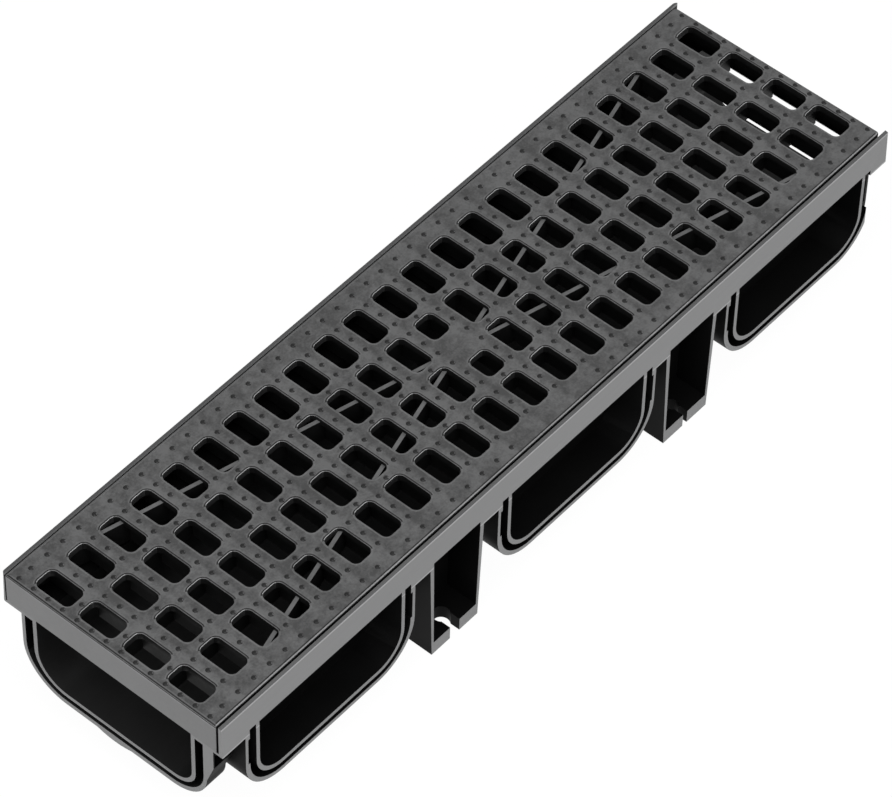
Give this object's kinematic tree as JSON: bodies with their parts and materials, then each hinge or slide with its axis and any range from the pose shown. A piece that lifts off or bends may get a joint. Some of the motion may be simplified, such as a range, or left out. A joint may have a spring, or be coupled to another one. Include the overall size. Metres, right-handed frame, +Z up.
{
  "type": "channel drain",
  "caption": "Plastic drainage channel with a lift-out slotted grate, joint frames at its ends and sides, and feet with keyholes for anchor rods.",
  "frame": {"origin": "on the ground, at the middle of the bounding box's base", "axes": "+X along the channel, +Y across it, +Z up"},
  "size_m": [0.5088, 0.1408, 0.0896],
  "materials": {
    "body_plastic": "black moulded polypropylene with a satin face",
    "grate_plastic": "black moulded plastic, fine mottled walking surface"
  },
  "bodies": {
    "root": {"channel_body": "body_plastic", "grate": "grate_plastic"}
  },
  "joints": []
}
